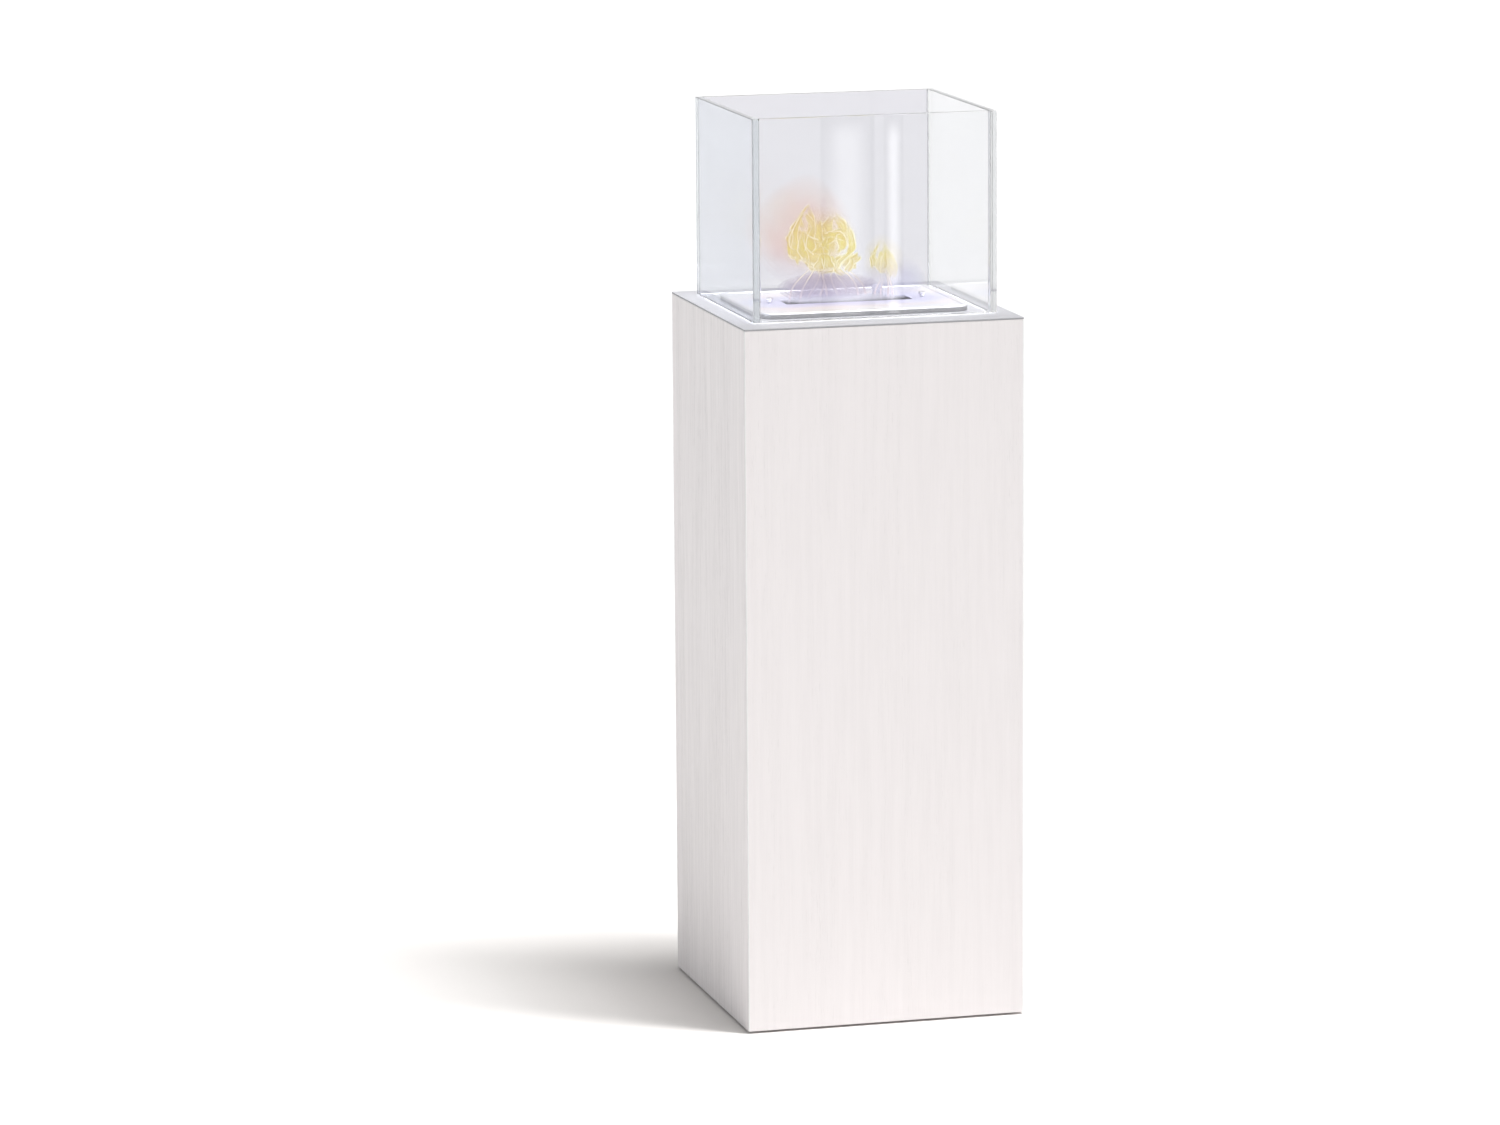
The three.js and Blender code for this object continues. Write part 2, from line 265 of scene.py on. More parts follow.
def draw_out(piece, centre, way, at, radius, rings):
    """Extrudes a disc's end through rings given as (distance from the centre, radius)."""
    with editing(piece):
        pick(piece, "FACE", lambda face: face.normal.z * way > 0.9)
        for ring_at, ring_radius in rings:
            bpy.ops.mesh.extrude_region_move(
                TRANSFORM_OT_translate={"value": (0, 0, way * (ring_at - at))})
            bpy.ops.transform.resize(
                value=(ring_radius / radius, ring_radius / radius, 1),
                center_override=(centre.x, centre.y, centre.z + way * ring_at))
            at, radius = ring_at, ring_radius


def add_rounded_block(name, lowest, highest, radius, segments=12):
    block = add_block(name, lowest, highest)
    round_uprights(block, radius, segments)
    return block


def apply_modifier(piece, kind, **values):
    activate(piece)
    modifier = piece.modifiers.new(kind.lower(), kind)
    for key, value in values.items():
        setattr(modifier, key, value)
    bpy.ops.object.modifier_apply(modifier=modifier.name)


def cut(piece, tool, operation="DIFFERENCE"):
    apply_modifier(piece, "BOOLEAN", object=tool, operation=operation, solver="EXACT")
    bpy.data.objects.remove(tool)


def soften(piece, width, segments=2, angle=35):
    """Rounds every edge that is sharper than the angle, in degrees."""
    apply_modifier(
        piece, "BEVEL", width=width, segments=segments, limit_method="ANGLE",
        angle_limit=math.radians(angle), harden_normals=False)


def copied(piece, name):
    """A copy with its own mesh."""
    twin = piece.copy()
    twin.data = piece.data.copy()
    twin.name = twin.data.name = name
    bpy.context.scene.collection.objects.link(twin)
    return twin


def finished(piece, body, material, slot, *replaced, smooth=30):
    """Gives a piece its shading, its finish and its body."""
    if smooth:
        activate(piece)
        bpy.ops.object.shade_smooth_by_angle(angle=math.radians(smooth))
        apply_modifier(piece, "WEIGHTED_NORMAL", weight=100, keep_sharp=True)
    piece.data.materials.clear()
    piece.data.materials.append(material)
    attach(piece, body)
    if replaced:
        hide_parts(*replaced)
    return piece


def repaint(material, *nodes):
    """Gives carried-over nodes a better finish."""
    for node in nodes:
        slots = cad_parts[node].data.materials
        slots.clear()
        slots.append(material)


# --- material helpers -----------------------------------------------------------------------


class Tree:
    """A short way to write a node tree."""

    def __init__(self, tree):
        self.tree = tree

    def add(self, kind, settings=None, **inputs):
        node = self.tree.nodes.new(kind)
        for key, value in (settings or {}).items():
            setattr(node, key, value)
        for key, value in inputs.items():
            self.feed(node.inputs[key.replace("_", " ")], value)
        return node

    def feed(self, socket, value):
        if isinstance(value, bpy.types.NodeSocket):
            self.tree.links.new(value, socket)
        else:
            socket.default_value = value

    def math(self, operation, first, second=0.0, clamp=False):
        node = self.tree.nodes.new("ShaderNodeMath")
        node.operation = operation
        node.use_clamp = clamp
        self.feed(node.inputs[0], first)
        self.feed(node.inputs[1], second)
        return node.outputs[0]

    def plus(self, first, second):
        return self.math("ADD", first, second)

    def minus(self, first, second):
        return self.math("SUBTRACT", first, second)

    def times(self, first, second):
        return self.math("MULTIPLY", first, second)

    def off(self, value, middle):
        """How far a value lies from a middle, on either side."""
        return self.math("ABSOLUTE", self.minus(value, middle))

    def mix(self, factor, first, second, blend="MIX"):
        node = self.tree.nodes.new("ShaderNodeMix")
        node.data_type = "RGBA"
        node.blend_type = blend
        self.feed(node.inputs[0], factor)
        self.feed(node.inputs[6], first)
        self.feed(node.inputs[7], second)
        return node.outputs[2]

    def toned(self, colour, tone):
        return self.mix(1.0, colour, tone, "MULTIPLY")

    def ramp(self, factor, stops):
        node = self.tree.nodes.new("ShaderNodeValToRGB")
        self.feed(node.inputs[0], factor)
        elements = node.color_ramp.elements
        while len(elements) < len(stops):
            elements.new(0.5)
        for element, (place, colour) in zip(elements, stops):
            element.position = place
            element.color = rgba(colour)
        return node.outputs[0]

    def span(self, value, start, end, to_start=0.0, to_end=1.0, smooth=True):
        """Maps a value from one span to another, clamped."""
        node = self.tree.nodes.new("ShaderNodeMapRange")
        node.interpolation_type = "SMOOTHSTEP" if smooth else "LINEAR"
        for socket, number in zip(node.inputs, (value, start, end, to_start, to_end)):
            self.feed(socket, number)
        return node.outputs[0]


def rgba(colour):
    return (*colour[:3], 1.0)


def new_group(name, inputs, outputs):
    """An empty node group with named sockets, as a Tree with its input and output nodes."""
    group = bpy.data.node_groups.new(name, "ShaderNodeTree")
    for label, kind, default in inputs:
        socket = group.interface.new_socket(name=label, in_out="INPUT", socket_type="NodeSocket" + kind)
        if default is not None:
            socket.default_value = default
    for label, kind in outputs:
        group.interface.new_socket(name=label, in_out="OUTPUT", socket_type="NodeSocket" + kind)
    tree = Tree(group)
    return tree, tree.add("NodeGroupInput").outputs, tree.add("NodeGroupOutput").inputs


class Finish(Tree):
    """A material with a Principled shader whose named sockets are set."""

    def __init__(self, name, **plain):
        self.material = bpy.data.materials.new(name)
        self.material.use_nodes = True
        super().__init__(self.material.node_tree)
        self.shader = self.tree.nodes["Principled BSDF"]
        for key, value in plain.items():
            self.set(key.replace("_", " "), value)
        self.place = self.add("ShaderNodeTexCoord").outputs["Object"]

    def set(self, socket, value):
        self.feed(self.shader.inputs[socket], value)

    def effect(self, name, **inputs):
        """The outputs of a shared effect, laid on the object's own coordinates."""
        settings = {"node_tree": bpy.data.node_groups[name]}
        return self.add("ShaderNodeGroup", settings, Place=self.place, **inputs).outputs

    def emboss(self, height, strength, distance):
        """Presses a height into the surface."""
        bump = self.add("ShaderNodeBump", Height=height, Strength=strength, Distance=distance)
        self.set("Normal", bump.outputs[0])


# --- shared effects -------------------------------------------------------------------------


def make_wood_grain():
    """Upright grain: long soft bands, fine streaks and short dark pores."""
    tree, given, out = new_group(
        "Wood grain",
        [("Place", "Vector", None), ("Contrast", "Float", 0.12)],
        [("Tone", "Color"), ("Height", "Float"), ("Streaks", "Float")])

    def noise_at(scale, detail, distortion=0.0):
        stretched = tree.add("ShaderNodeMapping", Vector=given["Place"], Scale=scale)
        return tree.add("ShaderNodeTexNoise", Vector=stretched.outputs[0], Scale=1.0, Detail=detail,
                        Roughness=0.55, Distortion=distortion).outputs[0]

    patch = tree.span(noise_at((26, 26, 1.1), 3.0, 0.6), 0.40, 0.62)
    vein = tree.span(noise_at((150, 150, 6), 3.0, 0.3), 0.36, 0.66)
    streak = tree.span(noise_at((520, 520, 16), 4.0), 0.35, 0.70, smooth=False)
    pore = tree.span(noise_at((900, 900, 55), 2.0), 0.60, 0.68)
    depth = tree.times(pore, tree.plus(tree.times(patch, 0.8), 0.2))
    dark = 0.0
    for mask, weight in ((depth, 0.75), (streak, 0.30), (vein, 0.34), (patch, 0.14)):
        dark = tree.plus(tree.times(mask, weight), dark)
    tree.feed(out["Tone"], tree.minus(1.0, tree.times(dark, given["Contrast"])))
    low_points = tree.plus(depth, tree.times(streak, 0.35))
    tree.feed(out["Height"], tree.minus(1.0, low_points))
    tree.feed(out["Streaks"], streak)


def make_brushed():
    """Fine straight brushing along X, with a little unevenness."""
    tree, given, out = new_group(
        "Brushed steel",
        [("Place", "Vector", None), ("Roughness", "Float", 0.3), ("Stretch", "Vector", (4, 700, 700))],
        [("Tone", "Color"), ("Roughness", "Float"), ("Height", "Float")])
    scaled = tree.add("ShaderNodeVectorMath", {"operation": "MULTIPLY"})
    tree.feed(scaled.inputs[0], given["Place"])
    tree.feed(scaled.inputs[1], given["Stretch"])
    lines = tree.add("ShaderNodeTexNoise", Vector=scaled.outputs[0], Scale=1.0, Detail=5.0, Roughness=0.65)
    cloud = tree.add("ShaderNodeTexNoise", Vector=given["Place"], Scale=38.0, Detail=3.0, Roughness=0.5)
    line = tree.span(lines.outputs[0], 0.3, 0.7, smooth=False)
    wide = tree.span(cloud.outputs[0], 0.3, 0.7)
    tree.feed(out["Tone"], tree.plus(0.93, tree.times(line, 0.07)))
    uneven = tree.plus(tree.times(line, 0.10), tree.times(wide, 0.08))
    tree.feed(out["Roughness"], tree.plus(given["Roughness"], tree.minus(uneven, 0.09)))
    tree.feed(out["Height"], line)


def make_speckle():
    """A fine even orange-peel or moulded texture, and faint dust lying on it."""
    tree, given, out = new_group(
        "Fine texture",
        [("Place", "Vector", None), ("Scale", "Float", 900.0), ("Amount", "Float", 0.04)],
        [("Tone", "Color"), ("Height", "Float"), ("Dust", "Float")])
    peel = tree.add(
        "ShaderNodeTexNoise", Vector=given["Place"], Scale=given["Scale"], Detail=2.0, Roughness=0.5)
    cloud = tree.add("ShaderNodeTexNoise", Vector=given["Place"], Scale=14.0, Detail=4.0, Roughness=0.6)
    dust = tree.span(cloud.outputs[0], 0.35, 0.75)
    both = tree.plus(tree.times(peel.outputs[0], 0.5), tree.times(dust, 0.5))
    tree.feed(out["Tone"], tree.minus(1.0, tree.times(both, given["Amount"])))
    tree.feed(out["Height"], peel.outputs[0])
    tree.feed(out["Dust"], dust)


def make_swirl():
    """Curling tongues of fire, as a mask."""
    tree, given, out = new_group(
        "Fire swirl",
        [("Place", "Vector", None), ("Scale", "Float", 40.0), ("Swirl", "Float", 2.2)],
        [("Petals", "Float")])
    stretched = tree.add("ShaderNodeMapping", Vector=given["Place"], Scale=(1, 1, 0.75))
    warp = tree.add(
        "ShaderNodeTexNoise", Vector=stretched.outputs[0], Scale=given["Scale"], Detail=1.5,
        Roughness=0.45, Distortion=given["Swirl"])
    tree.feed(out["Petals"], tree.span(warp.outputs[0], 0.34, 0.58))


# --- materials ------------------------------------------------------------------------------


def board_material(name, settings, contrast):
    look = Finish(name, Roughness=0.55, Specular_IOR_Level=0.35)
    grain = look.effect("Wood grain", Contrast=contrast)
    grained = look.toned(rgba(settings.board_colour), grain["Tone"])
    axes = look.add("ShaderNodeSeparateXYZ", Vector=look.place).outputs
    nearer = look.math("MINIMUM", look.math("ABSOLUTE", axes[0]), look.math("ABSOLUTE", axes[1]))
    side = high("panel_right").x
    # painted highlight: a thin whiter band along each upright corner
    corner = look.span(nearer, side - 1.5 * settings.corner_radius, side - 0.8 * settings.corner_radius)
    look.set("Base Color", look.mix(corner, grained, rgba(settings.corner_highlight_colour)))
    look.set("Roughness", look.span(grain["Streaks"], 0, 1, 0.50, 0.60))
    look.emboss(grain["Height"], 0.35, settings.grain_depth)
    return look.material


def speckled_material(name, colour, specular, scale, amount, smoothest, roughest, strength):
    """Paint or plastic with a fine even texture."""
    look = Finish(name, Specular_IOR_Level=specular)
    fine = look.effect("Fine texture", Scale=scale, Amount=amount)
    look.set("Base Color", look.toned(rgba(colour), fine["Tone"]))
    look.set("Roughness", look.span(fine["Dust"], 0, 1, smoothest, roughest))
    look.emboss(fine["Height"], strength, 0.05 * MM)
    return look.material


def steel_material(settings, name="Brushed stainless", roughness=0.28, stretch=(4, 700, 700),
                   tint=None, painted_light=None):
    look = Finish(name, Metallic=1.0)
    brushed = look.effect("Brushed steel", Roughness=roughness, Stretch=stretch)
    colour = look.toned(rgba(tint or settings.steel_colour), brushed["Tone"])
    # painted light: an optional mask of painted glow and shade laid over the steel's colour
    if painted_light:
        colour = look.toned(colour, painted_light(look))
    look.set("Base Color", colour)
    look.set("Roughness", brushed["Roughness"])
    look.emboss(brushed["Height"], 0.15, 0.03 * MM)
    return look.material


def flame_glow_and_edge_shade(look):
    """Painted glow of the blue flame foot on the plate, bluish round the slot and fading outwards, and
    painted shade that darkens the turned-down edge.
    """
    uneven = 22 * MM
    flame_lit = (18 * MM, 80 * MM)  # from the slot's middle line
    edge = (PLATE_TOP - 2.4 * MM, PLATE_TOP - 1.0 * MM)
    axes = look.add("ShaderNodeSeparateXYZ", Vector=look.place).outputs
    along = look.math("MAXIMUM", look.minus(look.math("ABSOLUTE", axes[0]), SLOT_HALF.x), 0.0)
    away = look.math("SQRT", look.plus(look.math("POWER", along, 2.0), look.math("POWER", axes[1], 2.0)))
    cloud = look.add("ShaderNodeTexNoise", Vector=look.place, Scale=30.0, Detail=3.0)
    away = look.plus(away, look.times(look.minus(cloud.outputs[0], 0.5), uneven))
    # painted glow: bluish near the slot, paler further out
    tint = look.ramp(look.span(away, *flame_lit, smooth=False), [
        (0.0, (0.82, 0.82, 0.97)), (0.35, (0.88, 0.88, 0.99)),
        (0.62, (0.97, 0.93, 0.94)), (1.0, (0.95, 0.95, 0.96))])
    # painted shade: the turned-down edge is darkened by up to half
    return look.toned(tint, look.span(axes[2], *edge, 0.5, 1.0))


def timber_material():
    look = Finish("Planed pine", Roughness=0.7)
    grain = look.effect("Wood grain", Contrast=0.35)
    warm = look.mix(grain["Streaks"], (0.66, 0.47, 0.26, 1), (0.52, 0.33, 0.16, 1))
    look.set("Base Color", look.toned(warm, grain["Tone"]))
    look.emboss(grain["Height"], 0.3, 0.1 * MM)
    return look.material


def galvanised_material():
    """Zinc spangle: flat crystals a few millimetres across."""
    look = Finish("Galvanised steel", Metallic=1.0)
    cells = look.add("ShaderNodeTexVoronoi", Vector=look.place, Scale=160.0)
    tone = look.ramp(cells.outputs["Color"], [(0.0, (0.42, 0.44, 0.46)), (1.0, (0.60, 0.62, 0.64))])
    look.set("Base Color", tone)
    look.set("Roughness", look.span(cells.outputs["Color"], 0, 1, 0.38, 0.58))
    return look.material


def fibre_material():
    look = Finish("Ceramic fibre", Roughness=0.95)
    strands = look.add(
        "ShaderNodeTexNoise", Vector=look.place, Scale=420.0, Detail=6.0, Roughness=0.75, Distortion=1.5)
    tone = look.ramp(strands.outputs[0], [(0.3, (0.70, 0.67, 0.60)), (0.62, (0.90, 0.88, 0.83))])
    look.set("Base Color", tone)
    look.emboss(strands.outputs[0], 0.7, 0.6 * MM)
    return look.material


def clear_material(name, tint, roughness, density, absorbed):
    """Clear glass or resin. Lamps shine through it, and long paths inside it darken, as at an edge."""
    look = Finish(
        name, Transmission_Weight=1.0, IOR=1.5, Metallic=0.0, Specular_IOR_Level=0.5)
    wipe = look.effect("Fine texture", Scale=60.0, Amount=0.015)
    look.set("Base Color", look.toned(rgba(tint), wipe["Tone"]))
    look.set("Roughness", look.span(wipe["Dust"], 0, 1, roughness, roughness + 0.01))
    open_to_lamps = look.add("ShaderNodeBsdfTransparent", Color=(0.97, 0.97, 0.975, 1))
    lamps = look.add("ShaderNodeLightPath").outputs["Is Shadow Ray"]
    both = look.add("ShaderNodeMixShader")
    look.feed(both.inputs[0], lamps)
    look.feed(both.inputs[1], look.shader.outputs[0])
    look.feed(both.inputs[2], open_to_lamps.outputs[0])
    output = look.tree.nodes["Material Output"]
    look.feed(output.inputs["Surface"], both.outputs[0])
    depth = look.add("ShaderNodeVolumeAbsorption", Color=rgba(absorbed), Density=density)
    look.feed(output.inputs["Volume"], depth.outputs[0])
    return look.material


FIRE = {"Base_Color": BLACK, "Roughness": 1.0, "Specular_IOR_Level": 0.0, "Emission_Strength": 1.0}


def flame_material(name, colours, foot, tip, opacity):
    """Fire that glows and thinly covers what is behind it.

    Its colours run from foot to tip, which are millimetres above the top surface.
    """
    look = Finish(name, **FIRE)
    height = look.add("ShaderNodeSeparateXYZ", Vector=look.place).outputs[2]
    rise = look.span(height, SURFACE_Z + foot * MM, SURFACE_Z + tip * MM, smooth=False)
    fire = look.effect("Fire swirl", Scale=22.0, Swirl=0.8)
    look.set("Emission Color", look.ramp(rise, colours))
    cover = look.plus(look.times(fire["Petals"], 0.5), 0.75)
    cover = look.times(cover, look.span(height, PLATE_TOP - 4 * MM, PLATE_TOP + 6 * MM, 0.1, 1.0))
    look.set("Alpha", look.math("MULTIPLY", cover, opacity, clamp=True))
    return look.material


def petal_material(name, settings):
    """Streaked yellow fire with a pale rim, which fades away at both ends of each petal."""
    look = Finish(name, **FIRE)
    uv = look.add("ShaderNodeTexCoord").outputs["UV"]
    along, across, _ = look.add("ShaderNodeSeparateXYZ", Vector=uv).outputs
    end, rim = (look.off(look.times(axis, 2.0), 1.0) for axis in (along, across))
    curl = look.add("ShaderNodeTexNoise", Vector=look.place, Scale=45.0, Detail=1.5, Distortion=1.6)
    curled = look.times(look.minus(curl.outputs[0], 0.5), 1.1)
    fold = look.plus(look.times(across, 0.75), curled)
    height = look.add("ShaderNodeSeparateXYZ", Vector=look.place).outputs[2]
    rise = look.span(height, SURFACE_Z + 15 * MM, SURFACE_Z + 115 * MM, smooth=False)
    body = look.ramp(rise, [
        (0.0, (0.80, 0.70, 0.84)), (0.18, (0.90, 0.76, 0.64)), (0.36, (0.90, 0.80, 0.46)),
        (0.5, settings.body_colour), (0.8, settings.body_colour), (1.0, (0.88, 0.74, 0.34))])
    deep = look.mix(0.65, body, (0.72, 0.54, 0.12, 1))
    bright = look.mix(0.6, body, (0.97, 0.93, 0.62, 1))
    body = look.mix(look.span(fold, 0.05, 0.42), deep, body)
    body = look.mix(look.span(fold, 0.42, 0.75), body, bright)
    crease = look.off(look.math("FRACT", look.times(fold, 2.3)), 0.5)
    inner = look.times(look.span(rim, 0.52, 0.72), look.span(rim, 0.82, 0.72))
    crease = look.math("MAXIMUM", look.span(crease, 0.10, 0.0), inner)
    body = look.mix(look.times(crease, 0.85), body, rgba(settings.crease_colour))
    edge = look.span(rim, 0.76, 0.92)
    look.set("Emission Color", look.mix(edge, body, rgba(settings.rim_colour)))
    cover = look.plus(0.54, look.times(look.math("MAXIMUM", edge, crease), 0.38))
    fade = look.span(end, 0.35, 1.0, 1.0, 0.0)
    look.set("Alpha", look.math("MULTIPLY", cover, fade, clamp=True))
    return look.material


# --- pieces ---------------------------------------------------------------------------------


class FIREPLACE_OT_boards(bpy.types.Operator):
    """Four upright boards, rounded at the corners and mitred there"""

    bl_idname = "fireplace.boards"
    bl_label = "Boards"

    def execute(self, context):
        settings = context.scene.fireplace.plinth
        # Painted light and shade: the front board's grain is faded, as if washed out by light, and the other
        # boards' grain is deepened, which leaves them a shade darker.
        lit_front_grain, shaded_side_grain = 0.55, 1.5
        plain = board_material("White foil with grain faded by painted light", settings, settings.grain_contrast * lit_front_grain)
        grained = board_material("White foil with grain deepened as painted shade", settings, settings.grain_contrast * shaded_side_grain)
        lowest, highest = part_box("panel_front")
        side = high("panel_right").x
        mitre_gap = 0.2 * MM
        front = add_block("board_front", (-side, lowest.y, lowest.z), (side, highest.y, highest.z))
        with editing(front):
            pick(front, "EDGE", lambda edge: runs_along(edge, 2) and middle(edge).y < lowest.y + MM)
            bpy.ops.mesh.bevel(offset=settings.corner_radius, segments=6, affect="EDGES")
            pick(front, "EDGE", lambda edge: runs_along(edge, 0) and middle(edge).z > highest.z - MM
                 and middle(edge).y < lowest.y + MM)
            bpy.ops.mesh.bevel(offset=0.5 * MM, segments=3, affect="EDGES")
            for sign in (-1, 1):
                bpy.ops.mesh.select_all(action="SELECT")
                bpy.ops.mesh.bisect(
                    plane_co=(sign * (side - mitre_gap), -side, 0), plane_no=(sign, 1, 0),
                    clear_outer=True, use_fill=True)
        for turn, name in enumerate(SIDES):
            board = front if name == "front" else copied(front, "board_" + name)
            board.data.transform(Matrix.Rotation(turn * math.pi / 2, 4, "Z"))
            finished(board, "plinth", plain if name == "front" else grained, "board", "panel_" + name)
        repaint(grained, "top_panel", "bottom_panel")
        repaint(timber_material(), *at_corners("corner_batten_"))
        return {"FINISHED"}


class FIREPLACE_OT_top_sheet(bpy.types.Operator):
    """Powder-coated steel sheet with a rolled edge and the cut-out for the burner"""

    bl_idname = "fireplace.top_sheet"
    bl_label = "Top sheet"

    def execute(self, context):
        lowest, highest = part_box("top_sheet")
        sheet = add_rounded_block("top_sheet_rolled", lowest, highest, 1.2 * MM, 4)
        cut(sheet, add_rounded_block("cut_out", *self.cut_out(), 10 * MM, 8))
        soften(sheet, 0.45 * MM, 3)
        # painted shade: the sheet's grey stands in for shade on the white top
        colour = context.scene.fireplace.plinth.shaded_sheet_colour
        paint = speckled_material("Powder coat darkened as painted shade", colour, 0.25, 1100.0, 0.05, 0.45, 0.6, 0.12)
        finished(sheet, "plinth", paint, "painted_steel", "top_sheet")
        repaint(galvanised_material(), "burner_well")
        return {"FINISHED"}

    @staticmethod
    def cut_out():
        """The well's inside, taken from its rim, past both faces of the sheet."""
        rim = Vector((16, 16, 0)) * MM
        lowest, highest = low("burner_well") + rim, high("burner_well") - rim
        lowest.z, highest.z = SURFACE_Z - PAST, SURFACE_Z + PAST
        return lowest, highest


class FIREPLACE_OT_base(bpy.types.Operator):
    """Glides under the bottom board, and every countersunk screw"""

    bl_idname = "fireplace.base"
    bl_label = "Glides and screws"

    def execute(self, context):
        black = (0.022, 0.022, 0.024)
        plastic = speckled_material("Black glide plastic", black, 0.4, 1600.0, 0.3, 0.5, 0.7, 0.3)
        zinc = steel_material(
            context.scene.fireplace.burner, "Zinc-plated screws", 0.32, (300, 300, 300), (0.66, 0.68, 0.72))
        repaint(plastic, *at_corners("glide_"))
        for kind, head_up in (("glide_screw", False), ("well_screw", True)):
            nodes = at_corners(kind + "_")
            first, home = self.screw(nodes[0], head_up), centre_of(nodes[0])
            for node in nodes:
                piece = first if node == nodes[0] else copied(first, node + "_cross")
                piece.data.transform(Matrix.Translation(centre_of(node) - home))
                finished(piece, "plinth", zinc, "zinced_steel", node)
        repaint(zinc, "knob_screw_left", "knob_screw_right")
        return {"FINISHED"}

    @staticmethod
    def screw(node, head_up):
        """A countersunk screw in its node's box: head, tapered neck, thread, point and cross recess."""
        lowest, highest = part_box(node)
        way = -1 if head_up else 1
        foot = centre_of(node)
        foot.z = highest.z if head_up else lowest.z
        length = highest.z - lowest.z
        rim = 0.3 * MM
        head = (highest.x - lowest.x) / 2
        shank, root = head * 0.47, 0.78
        neck, threaded = length * 0.17, length * 0.82
        ridge = 0.55 * MM
        screw = add_disc(node + "_cross", head, foot, foot + Vector((0, 0, way * rim)), 24)
        rings = [(neck, shank)]
        while rings[-1][0] < threaded:
            at = rings[-1][0]
            rings += [(at + ridge, shank), (at + 1.5 * ridge, shank * root)]
        rings += [(length - shank, shank * 0.7), (length - 0.05 * MM, 0.12 * MM)]
        draw_out(screw, foot, way, rim, head, rings)
        arm, thin, deep = head * 0.62, head * 0.14, 1.3 * MM
        for half in (Vector((arm, thin, deep)), Vector((thin, arm, deep))):
            cut(screw, add_block("recess", foot - half, foot + half))
        return screw


class FIREPLACE_OT_plate(bpy.types.Operator):
    """Pressed cover plate: rolled edge, raised rim, the slot, and holes for the knobs"""

    bl_idname = "fireplace.plate"
    bl_label = "Cover plate"

    def execute(self, context):
        settings = context.scene.fireplace.burner
        lowest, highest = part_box("burner_plate")
        steel = 1.2 * MM
        radius = 18 * MM
        roll = 2 * MM
        step = 1.2 * MM  # from the rim down to the middle
        plate = add_rounded_block("cover_plate", lowest, highest, radius, 14)
        with editing(plate):
            pick(plate, "FACE", lambda face: face.normal.z > 0.9)
            bpy.ops.mesh.region_to_loop()
            bpy.ops.mesh.bevel(offset=roll, segments=5, affect="EDGES")
            pick(plate, "FACE", lambda face: face.normal.z > 0.99 and len(face.verts) > 8)
            bpy.ops.mesh.inset(thickness=settings.lip_width - roll)
            bpy.ops.mesh.inset(thickness=step, depth=-settings.lip_height)
            bpy.ops.mesh.inset(thickness=0.6 * MM)
        wall = Vector((steel, steel, 0))
        inside = add_rounded_block(
            "inside", lowest + wall - Vector((0, 0, PAST)),
            highest - wall - Vector((0, 0, steel + settings.lip_height)), radius - steel, 14)
        cut(plate, inside)
        for tool in self.openings(lowest.z, highest.z):
            cut(plate, tool)
        soften(plate, 0.35 * MM, 2, 40)
        # the plate's steel carries painted flame glow round the slot and painted shade on its edge
        flame_lit = steel_material(settings, "Stainless with painted flame glow and edge shade", 0.50, painted_light=flame_glow_and_edge_shade)
        finished(plate, "burner", flame_lit, "stainless", "burner_plate")
        return {"FINISHED"}

    @staticmethod
    def openings(floor, top):
        """The slot, as long as the damper covers, and the two knob holes."""
        down, up = Vector((0, 0, floor - PAST)), Vector((0, 0, top + PAST))
        yield add_rounded_block("slot", down - SLOT_HALF, up + SLOT_HALF, 3 * MM, 6)
        for side in ENDS:
            centre = centre_of("knob_screw_" + side)
            centre.z = 0
            yield add_disc("hole", 2.3 * MM, centre + down, centre + up)


